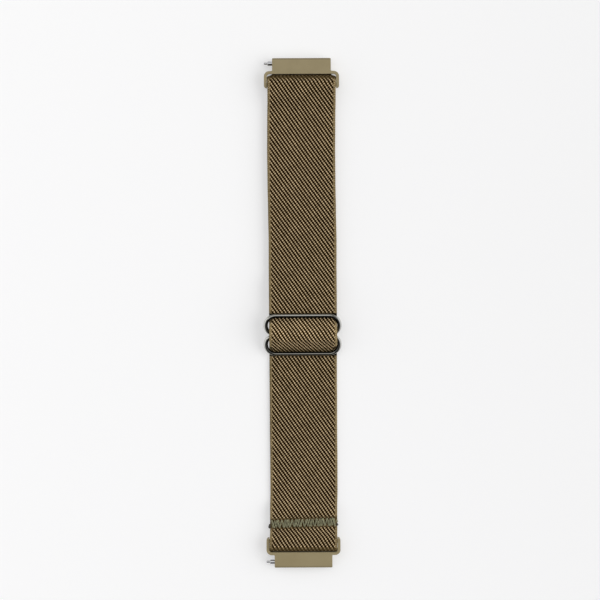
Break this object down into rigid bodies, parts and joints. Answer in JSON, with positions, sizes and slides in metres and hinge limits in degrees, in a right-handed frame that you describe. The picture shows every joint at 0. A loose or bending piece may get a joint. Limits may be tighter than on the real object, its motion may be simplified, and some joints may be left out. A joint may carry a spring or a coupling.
{
  "type": "nylon watch strap",
  "caption": "Elastic woven nylon watch strap with a two-lobed wire length slider, a metal end link at each end and quick-release spring bars, lying open and flat.",
  "frame": {"origin": "on the table under the middle of the open strap", "axes": "+Y along the strap to the end link that the webbing turns round, +X across the strap, +Z out of the visible face"},
  "size_m": [0.0262, 0.1748, 0.0067],
  "materials": {
    "webbing": "khaki twill",
    "thread": "grey-green sewing thread",
    "link_paint": "matte khaki",
    "slider_metal": "polished gunmetal",
    "bar_steel": "turned",
    "spring_steel": "drawn wire"
  },
  "bodies": {
    "upper_webbing": {"webbing_upper_run": "webbing"},
    "upper_link": {"upper_end_link": "link_paint"},
    "upper_bar": {"upper_bar_tube": "bar_steel", "upper_bar_fixed_tip": "bar_steel", "upper_bar_spring": "spring_steel"},
    "upper_plunger": {"upper_bar_plunger": "bar_steel", "upper_bar_release_knob": "bar_steel"},
    "slider": {"length_slider": "slider_metal", "webbing_slider_crossing": "webbing", "webbing_sewn_end": "webbing", "sewn_end_needle_thread": "thread", "sewn_end_bobbin_thread": "thread"},
    "lower_end": {"webbing_lower_run": "webbing", "lower_tack_needle_thread": "thread", "lower_tack_bobbin_thread": "thread"},
    "lower_link": {"lower_end_link": "link_paint"},
    "lower_bar": {"lower_bar_tube": "bar_steel", "lower_bar_fixed_tip": "bar_steel", "lower_bar_spring": "spring_steel"},
    "lower_plunger": {"lower_bar_plunger": "bar_steel", "lower_bar_release_knob": "bar_steel"}
  },
  "joints": [
    {"name": "upper_link_hinge", "type": "hinge", "parent": "upper_webbing", "child": "upper_link", "pos_m": [0, 0.07848, 0.00215], "axis": [1, 0, 0], "range_deg": [-90, 90]},
    {"name": "slider_travel", "type": "slide", "parent": "upper_webbing", "child": "slider", "axis": [0, 1, 0], "range_m": [-0.017, 0.045], "deforming": ["webbing_upper_run"]},
    {"name": "lower_end_travel", "type": "slide", "parent": "slider", "child": "lower_end", "axis": [0, 1, 0], "range_m": [-0.09, 0.034], "deforming": ["webbing_lower_run"]},
    {"name": "lower_link_hinge", "type": "hinge", "parent": "lower_end", "child": "lower_link", "pos_m": [0, -0.07848, 0.00215], "axis": [1, 0, 0], "range_deg": [-90, 90]},
    {"name": "upper_bar_float", "type": "slide", "parent": "upper_link", "child": "upper_bar", "axis": [1, 0, 0], "range_m": [0, 0.0021]},
    {"name": "lower_bar_float", "type": "slide", "parent": "lower_link", "child": "lower_bar", "axis": [1, 0, 0], "range_m": [0, 0.0021]},
    {"name": "upper_plunger_travel", "type": "slide", "parent": "upper_bar", "child": "upper_plunger", "axis": [1, 0, 0], "range_m": [0, 0.0013], "stiffness_N_per_m": 1000, "deforming": ["upper_bar_spring"]},
    {"name": "lower_plunger_travel", "type": "slide", "parent": "lower_bar", "child": "lower_plunger", "axis": [1, 0, 0], "range_m": [0, 0.0013], "stiffness_N_per_m": 1000, "deforming": ["lower_bar_spring"]}
  ],
  "couplings": [
    {"joint": "lower_end_travel", "follows": "slider_travel", "ratio": -2}
  ]
}
